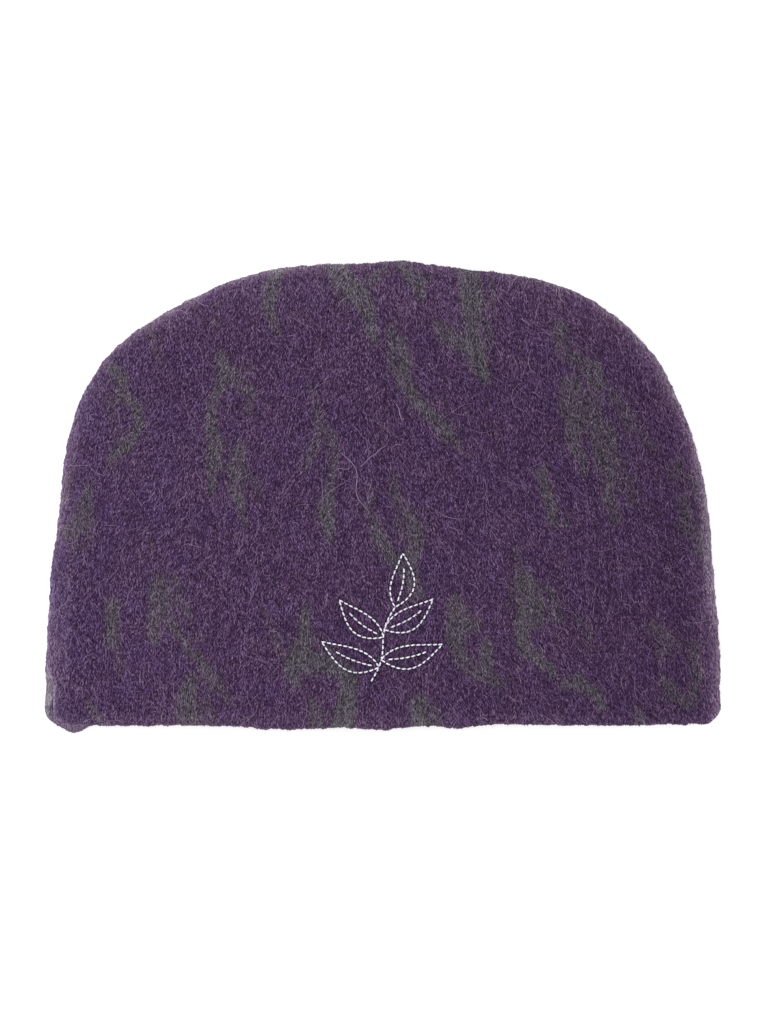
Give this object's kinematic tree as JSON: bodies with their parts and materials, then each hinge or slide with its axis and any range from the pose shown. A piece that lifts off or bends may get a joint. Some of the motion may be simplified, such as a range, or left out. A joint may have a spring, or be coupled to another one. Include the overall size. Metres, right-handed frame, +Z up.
{
  "type": "knit beanie",
  "caption": "Brushed knit beanie lying flat: two D-shaped panels seamed round the crown and sides, open along the straight rim.",
  "frame": {"origin": "on the surface the beanie lies on, under the middle of its outline", "axes": "+X across the beanie towards its right as it lies, +Y from the open rim to the crown, +Z up through both layers"},
  "size_m": [0.2496, 0.1736, 0.0157],
  "materials": {
    "brushed_knit": "purple brushed knit with a raised pile and soft-edged olive-grey patches",
    "stitch_thread": "pale lavender-white embroidery thread in running stitch, slightly glossy"
  },
  "bodies": {
    "root": {"front_panel": "brushed_knit", "back_panel": "brushed_knit"}
  },
  "joints": []
}
